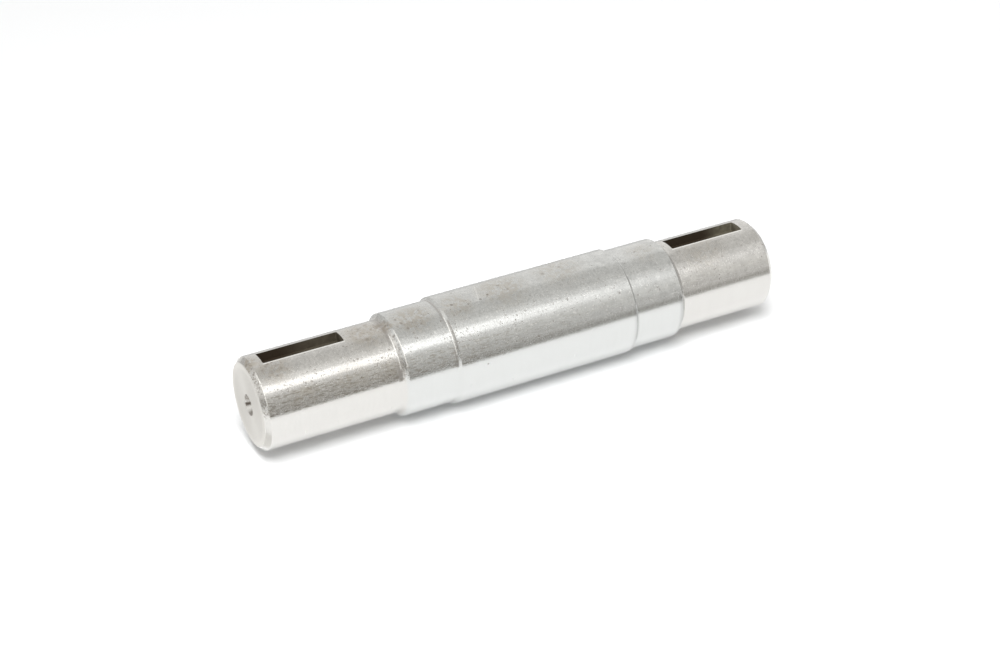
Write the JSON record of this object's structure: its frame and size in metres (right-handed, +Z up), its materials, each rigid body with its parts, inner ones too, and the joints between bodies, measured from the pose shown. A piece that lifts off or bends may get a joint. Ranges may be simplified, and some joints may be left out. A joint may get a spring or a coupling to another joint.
{
  "type": "stepped drive shaft",
  "caption": "Stepped steel drive shaft: a thicker middle between bearing seats, chamfered shoulders, keyed journals with closed square-ended keyways, and a centre hole in each end face.",
  "frame": {"origin": "centre of the lower end face, where the axis meets it", "axes": "+Z up along the shaft's axis, from the lower journal to the longer upper journal; both keyways face -Y"},
  "size_m": [0.042, 0.042, 0.2165],
  "materials": {
    "turned_steel": "turned steel, fine rings round the axis, small dark pits and brown-grey stains"
  },
  "bodies": {
    "root": {"shaft": "turned_steel"}
  },
  "joints": []
}
